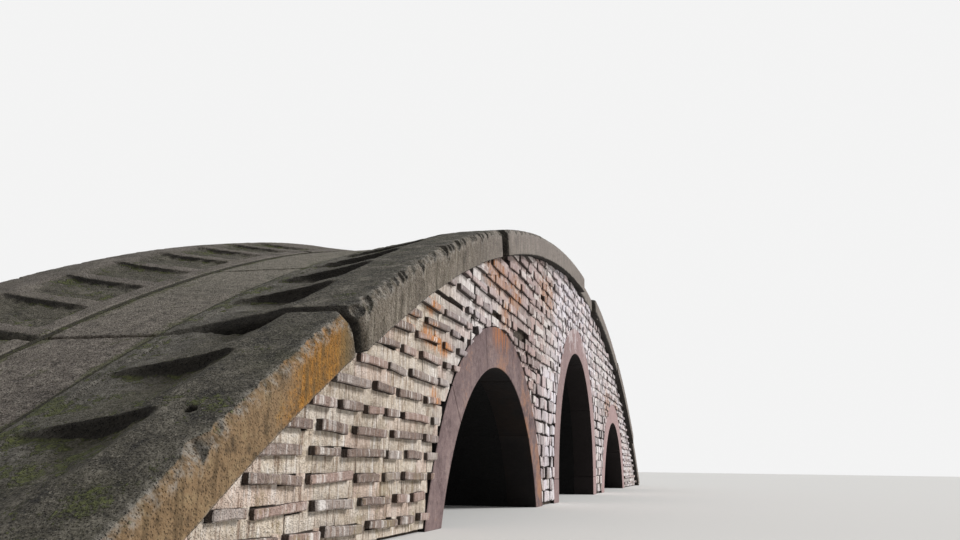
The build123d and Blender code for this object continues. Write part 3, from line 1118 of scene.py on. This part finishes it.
# %% Courses
COURSE_HEIGHTS = [
    0.065, 0.15, 0.235, 0.319, 0.398, 0.476, 0.564, 0.655, 0.745, 0.835, 0.915,
    0.995, 1.075, 1.165, 1.265, 1.370, 1.465, 1.560, 1.655, 1.750, 1.845, 1.940,
]
BACKING_DEPTH = 0.024
RING_JOINT = 0.001


def bed_height(x):
    """Height of the slabs' bed over the floor."""
    return DECK_CENTRE_Z + math.sqrt(BED_RADIUS ** 2 - x ** 2)


def ring_cut(x, z):
    """Signed distance from the nearest ring's back, and the direction away from that ring."""
    best = (1e9, Vector((1, 0, 0)), Vector((0, 0, 0)))
    for centre_x, centre_z, radius in ARCHES:
        outer = radius + RING_DEPTH + RING_JOINT
        if centre_z > 0 and z < centre_z:
            away = Vector((math.copysign(1.0, x - centre_x), 0, 0))
            distance = abs(x - centre_x) - outer
        else:
            away = Vector((x - centre_x, 0, z - centre_z))
            distance = away.length - outer
            away.normalize()
        if distance < best[0]:
            best = (distance, away, Vector((x, 0, z)) - away * distance)
    return best


STAIN_SPOTS = [
    (-4.74, 1.00, 0.09, 0.05), (-4.78, 0.86, 0.13, 0.05), (-4.60, 0.82, 0.14, 0.04),
    (-5.03, 0.87, 0.09, 0.04), (-4.70, 0.59, 0.10, 0.05), (-3.50, 1.40, 0.34, 0.12),
    (-2.93, 1.40, 0.22, 0.14), (-3.24, 1.20, 0.16, 0.09), (-1.68, 1.62, 0.42, 0.14),
    (-2.20, 0.29, 0.14, 0.10), (2.60, 1.05, 0.30, 0.20), (3.70, 1.00, 0.20, 0.20),
]


def stain_at(side, x, z):
    """Orange stain runs down from a few places; the hidden wall has them end for end."""
    x = x if side < 0 else -x
    return max(
        math.exp(-(((x - at) / width) ** 2) - (((z - height) / reach) ** 2))
        for at, height, width, reach in STAIN_SPOTS)


# %% One stone
LONG_STONE = 0.16
LEAST_SPAN = 0.014
LEAST_FACES = 5
STONE_FOOT = 0.003


def cut_off(stone, point, outward):
    """Takes away what lies past a plane, and closes the cut."""
    bmesh.ops.bisect_plane(
        stone, geom=stone.verts[:] + stone.edges[:] + stone.faces[:], dist=0.0001,
        plane_co=point, plane_no=outward, clear_outer=True)
    bmesh.ops.holes_fill(stone, edges=[e for e in stone.edges if e.is_boundary], sides=0)


def span_of(stone, axis):
    """How far a stone reaches along an axis."""
    places = [v.co[axis] for v in stone.verts]
    return max(places) - min(places) if places else 0.0


class StoneHeap:
    """Collects stones into one mesh, with a tone and a kind for each."""

    def __init__(self, seed):
        self.chance = random.Random(seed)
        self.builder = bmesh.new()
        self.tones = []
        self.bars = []
        self.count = 0

    def lay(self, side, x0, x1, z0, z1, proud, bar, bevel, shift):
        """A stone between x0 and x1, z0 and z1, whose face stands proud of the wall plane."""
        pick = self.chance
        length = x1 - x0
        middle_x = (x0 + x1) / 2
        middle_z = (z0 + z1) / 2
        half = max(length, z1 - z0) / 2
        distance, away, on_ring = ring_cut(middle_x, middle_z)
        if distance < -0.4 * half or middle_z > bed_height(middle_x) + 0.02 or abs(middle_x) > WALL_END:
            return
        stone = bmesh.new()
        depth = BACKING_DEPTH + proud + 0.01
        bmesh.ops.create_cube(stone, size=1.0)
        bmesh.ops.scale(stone, verts=stone.verts, vec=(length, depth, z1 - z0))
        if length > LONG_STONE:
            along = [e for e in stone.edges if abs(e.verts[0].co.x - e.verts[1].co.x) > 0.01]
            bmesh.ops.subdivide_edges(stone, edges=along, cuts=2, use_grid_fill=True)
        bow = pick.uniform(-0.5, 1.0) * shift
        lean = 0.012 + 3.0 * shift
        turn = Matrix.Rotation(pick.gauss(0, lean), 4, "Y") @ Matrix.Rotation(pick.gauss(0, lean), 4, "X")
        for v in stone.verts:
            middle = 1 - (2 * v.co.x / length) ** 2
            v.co.z += bow * middle * 0.8
            v.co.x += pick.uniform(-shift, shift) * 0.8
            v.co.z += pick.uniform(-shift, shift) * 0.5
            if v.co.y < 0:
                v.co.y += pick.uniform(-shift, shift) * 0.35
        bmesh.ops.transform(stone, verts=stone.verts, matrix=turn)
        middle_y = depth / 2 - WALL_FACE - proud
        bmesh.ops.translate(stone, verts=stone.verts, vec=(middle_x, middle_y, middle_z))
        if distance < half:
            cut_off(stone, on_ring, -away)
        cut_off(stone, (0, 0, STONE_FOOT), (0, 0, -1))
        least = min(span_of(stone, 0), span_of(stone, 2))
        if len(stone.faces) < LEAST_FACES or least < LEAST_SPAN:
            stone.free()
            return
        sharp = [e for e in stone.edges if e.calc_face_angle(0.0) > 0.5]
        bmesh.ops.bevel(stone, geom=sharp, offset=min(bevel, least * 0.3), segments=1, profile=0.5,
                        affect="EDGES", clamp_overlap=True, material=-1)
        if side > 0:
            bmesh.ops.scale(stone, verts=stone.verts, vec=(1, -1, 1))
        bmesh.ops.recalc_face_normals(stone, faces=stone.faces)
        part = mesh_from(stone, "stone")
        self.builder.from_mesh(part)
        self.tones += [pick.random()] * len(part.polygons)
        self.bars += [bar] * len(part.polygons)
        self.count += 1
        bpy.data.meshes.remove(part)


# %% Laying the courses
MISSING = [
    (-4.70, -4.25, 1.075), (-5.22, -5.02, 0.476), (-3.62, -3.34, 1.165), (-3.34, -3.12, 1.560),
    (-2.80, -2.42, 1.165), (-2.96, -2.60, 1.120), (-4.34, -4.16, 0.915), (-4.63, -4.47, 0.564),
]
RUBBLE_REACH = 0.16
RUBBLE_SHARE = 0.5


def is_missing(side, x, z):
    """A few stones have fallen out of the wall that the photograph shows."""
    return side < 0 and any(x0 < x < x1 and abs(z - at) < 0.02 for x0, x1, at in MISSING)


def by_ring(x, z):
    """Close to a ring the courses end in short pieces."""
    return ring_cut(x, z)[0] < RUBBLE_REACH


PIER_INNER = 1.2
PIER_OUTER = 2.3
PIER_TOP = 1.02
SHOULDER = 2.5
ABUTMENT = 4.05
STYLE_ENDS = (
    -ABUTMENT, -SHOULDER, -PIER_OUTER, -PIER_INNER, PIER_INNER, PIER_OUTER, SHOULDER, ABUTMENT)
STYLE_BLUR = 0.08
STYLES = {
    "abutment": dict(
        bar=0.031, long=(0.26, 0.38), short=(0.14, 0.22), gap=(0.04, 0.09), proud=(0.016, 0.026),
        block=(0.16, 0.42), block_proud=(-0.003, 0.001), bevel=0.004, shift=0.004, tone=0.9, lost=0.0),
    "shoulder": dict(
        bar=0.046, long=(0.20, 0.29), short=(0.12, 0.19), gap=(0.012, 0.045), proud=(0.012, 0.026),
        block=(0.10, 0.26), block_proud=(-0.004, 0.003), bevel=0.004, shift=0.006, tone=0.7, lost=0.03),
    "crown": dict(
        bar=0.050, long=(0.14, 0.21), short=(0.07, 0.13), gap=(0.006, 0.035), proud=(0.006, 0.022),
        block=(0.06, 0.20), block_proud=(-0.006, 0.005), bevel=0.005, shift=0.008, tone=0.6, lost=0.04),
    "pier": dict(
        bar=0.077, long=(0.11, 0.17), short=(0.06, 0.11), gap=(0.002, 0.010), proud=(-0.006, 0.014),
        bevel=0.005, shift=0.010, tone=0.2, lost=0.03),
}
BLOCK_SHIFT = 0.5
BLOCK_LAP = 0.002


def style_at(x, z):
    """The name of the style in which a place of the wall is laid."""
    if PIER_INNER < abs(x) < PIER_OUTER and z < PIER_TOP:
        return "pier"
    if abs(x) > ABUTMENT:
        return "abutment"
    return "shoulder" if abs(x) > SHOULDER else "crown"


def lay_bars(heap, side, start, end, z0, z1, style):
    """Bars that stand proud, with a cream plug in each space between where the style has cream."""
    pick = heap.chance
    shift = style["shift"]
    x = start + pick.uniform(0, 0.1)
    while x < end:
        length = pick.uniform(*pick.choice([style["long"], style["short"]]))
        length *= RUBBLE_SHARE if by_ring(x + length / 2, z0) else 1.0
        space = pick.uniform(*style["gap"])
        plug = x + length
        low = z0 + pick.uniform(-0.6, 0.6) * shift
        high = z1 + pick.uniform(-0.6, 0.6) * shift
        if not is_missing(side, x + length / 2, (z0 + z1) / 2) and pick.random() > style["lost"]:
            heap.lay(side, x, plug, low, high, pick.uniform(*style["proud"]),
                     style["tone"], style["bevel"], shift)
        if "block" in style and not is_missing(side, plug + space / 2, (z0 + z1) / 2):
            heap.lay(side, plug, plug + space, z0 - BLOCK_LAP, z1 + BLOCK_LAP,
                     pick.uniform(*style["block_proud"]), 0.0, BLOCK_LAP, BLOCK_LAP)
        x = plug + space


def lay_blocks(heap, side, start, end, z0, z1, style):
    """The cream blocks of one course, close together."""
    pick = heap.chance
    shift = style["shift"] * BLOCK_SHIFT
    x = start + pick.uniform(0, 0.02)
    while x < end - 0.03:
        length = pick.uniform(*style["block"])
        length = min(length * (RUBBLE_SHARE if by_ring(x + length / 2, z0) else 1.0), end - x)
        if not is_missing(side, x + length / 2, (z0 + z1) / 2):
            heap.lay(side, x, x + length, z0 - BLOCK_LAP, z1 + BLOCK_LAP,
                     pick.uniform(*style["block_proud"]), 0.0, style["bevel"] * BLOCK_SHIFT, shift)
        x += length + pick.uniform(-0.002, 0.001 + shift * 0.5)


def lay_wall(heap, side, start, end):
    """All the courses of one bay, in the style of each stretch of wall."""
    below = 0.0
    for height in COURSE_HEIGHTS:
        bounds = [c + heap.chance.uniform(-STYLE_BLUR, STYLE_BLUR) for c in STYLE_ENDS]
        steps = [start] + [c for c in bounds if start < c < end] + [end]
        for x0, x1 in zip(steps, steps[1:]):
            style = STYLES[style_at((x0 + x1) / 2, height)]
            top = height + style["bar"] / 2
            bottom = height - style["bar"] / 2
            lay_bars(heap, side, x0, x1, bottom, top, style)
            if "block" in style:
                lay_blocks(heap, side, x0, x1, below + style["bar"] / 2, bottom, style)
        below = height


def backing_of(node):
    """The CAD wall with its outer face moved back behind the stones."""
    builder = solids_of(node)[0]
    for v in builder.verts:
        if abs(v.co.y) > WALL_FACE - 0.001:
            v.co.y -= math.copysign(BACKING_DEPTH, v.co.y)
    return mesh_from(builder, "backing")


# %% Lay all eight bays
BAYS = {
    "near_abutment": (-WALL_END, -3.36), "near_pier": (-3.36, 0.0),
    "far_pier": (0.0, 3.36), "far_abutment": (3.36, WALL_END),
}
wall_faces = 0
wall_count = 0
for side, side_name in ((-1, "right"), (1, "left")):
    for number, (name, (start, end)) in enumerate(BAYS.items()):
        node = f"wall_{side_name}_{name}"
        heap = StoneHeap(300 + number + 10 * (side > 0))
        lay_wall(heap, side, start, end)
        stones = len(heap.tones)
        heap.builder.from_mesh(backing_of(node))
        mesh = mesh_from(heap.builder, node)
        more = len(mesh.polygons) - stones
        store(mesh, "tone", heap.tones + [0.5] * more, "FACE")
        store(mesh, "bar", heap.bars + [0.0] * more, "FACE")
        store(mesh, "stain", [stain_at(side, v.co.x, v.co.z) for v in mesh.vertices])
        mesh.polygons.foreach_set("material_index", [0] * stones + [1] * more)
        piece = show(f"stones_{side_name}_{name}", mesh, [wall_stone, backing_earth])
        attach(piece, "root")
        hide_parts(node)
        wall_faces += len(mesh.polygons)
        wall_count += heap.count
print("wall", wall_count, "stones", wall_faces, "faces")

# %% [markdown]
# ## Barrels and hearting
#
# These solids stay as they are, with a dark material in place of the plain one.

# %% Dress the CAD nodes that stay
for name, node in frame["nodes"].items():
    if name.startswith(("vault", "core")):
        material = vault_stone_painted_shade if name.startswith("vault") else hearting
        node.data.materials.clear()
        node.data.materials.append(material)
